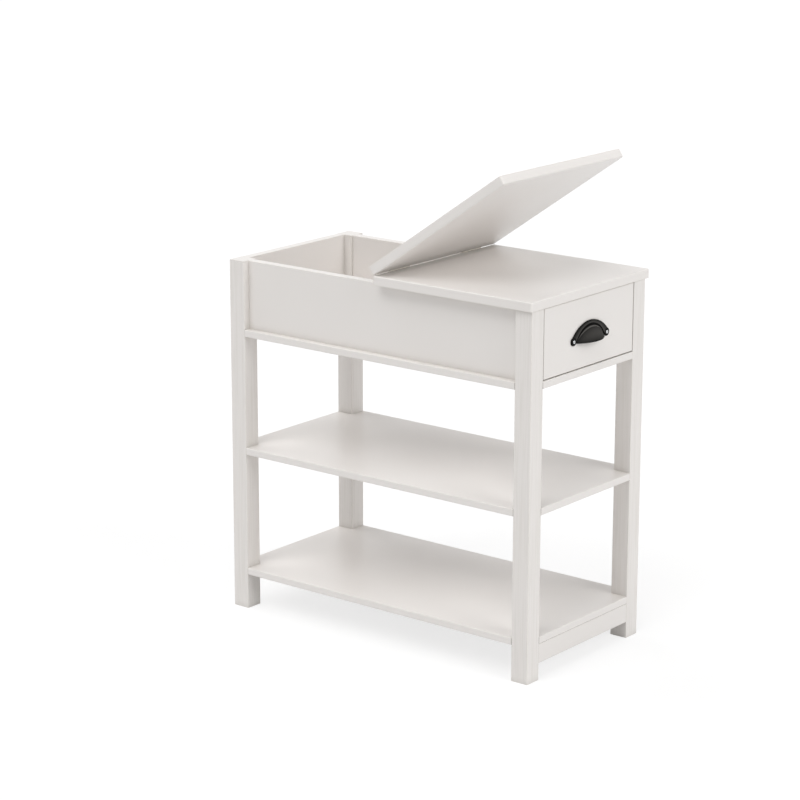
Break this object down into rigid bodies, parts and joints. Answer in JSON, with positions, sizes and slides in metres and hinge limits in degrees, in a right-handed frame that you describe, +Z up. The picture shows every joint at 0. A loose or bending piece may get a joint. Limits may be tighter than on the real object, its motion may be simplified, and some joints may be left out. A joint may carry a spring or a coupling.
{
  "type": "end table",
  "caption": "Narrow white end table with a hinged lift-up half top over a storage box, a front drawer with a cup pull, and open shelves below.",
  "frame": {"origin": "on the floor, under the middle of the table's bounding box with the lid raised and the drawer shut", "axes": "+Z up; -Y out of the drawer front; +X to the right of a person who faces the drawer"},
  "size_m": [0.318, 0.6266, 0.795],
  "materials": {
    "white_lacquer": "warm white satin lacquer, sprayed on sanded fibreboard",
    "drawer_foil": "matt white foil on fibreboard",
    "beech": "planed beech, waxed",
    "nickel_steel": "nickel-plated pressed steel",
    "black_metal": "satin black powder coat on cast metal",
    "bright_screw": "bright zinc-plated screw heads"
  },
  "bodies": {
    "frame": {"front_left_leg": "white_lacquer", "front_right_leg": "white_lacquer", "rear_left_leg": "white_lacquer", "rear_right_leg": "white_lacquer", "left_side_panel": "white_lacquer", "right_side_panel": "white_lacquer", "back_panel": "white_lacquer", "divider_panel": "white_lacquer", "box_bottom": "white_lacquer", "middle_shelf": "white_lacquer", "lower_shelf": "white_lacquer", "lower_front_rail": "white_lacquer", "fixed_top": "white_lacquer", "left_runner": "beech", "right_runner": "beech", "left_hinge_top_leaf": "nickel_steel", "right_hinge_top_leaf": "nickel_steel", "left_hinge_pin": "nickel_steel", "right_hinge_pin": "nickel_steel"},
    "lid": {"flip_lid": "white_lacquer", "left_hinge_lid_leaf": "nickel_steel", "right_hinge_lid_leaf": "nickel_steel"},
    "drawer": {"drawer_front": "white_lacquer", "drawer_left_side": "drawer_foil", "drawer_right_side": "drawer_foil", "drawer_back": "drawer_foil", "drawer_bottom": "drawer_foil", "cup_pull": "black_metal", "pull_screws": "bright_screw"}
  },
  "joints": [
    {"name": "lid_hinge", "type": "hinge", "parent": "frame", "child": "lid", "pos_m": [0, 0.0063, 0.6103], "axis": [1, 0, 0], "range_deg": [-145.6, 34.4]},
    {"name": "drawer_slide", "type": "slide", "parent": "frame", "child": "drawer", "axis": [0, -1, 0], "range_m": [0, 0.18]}
  ]
}
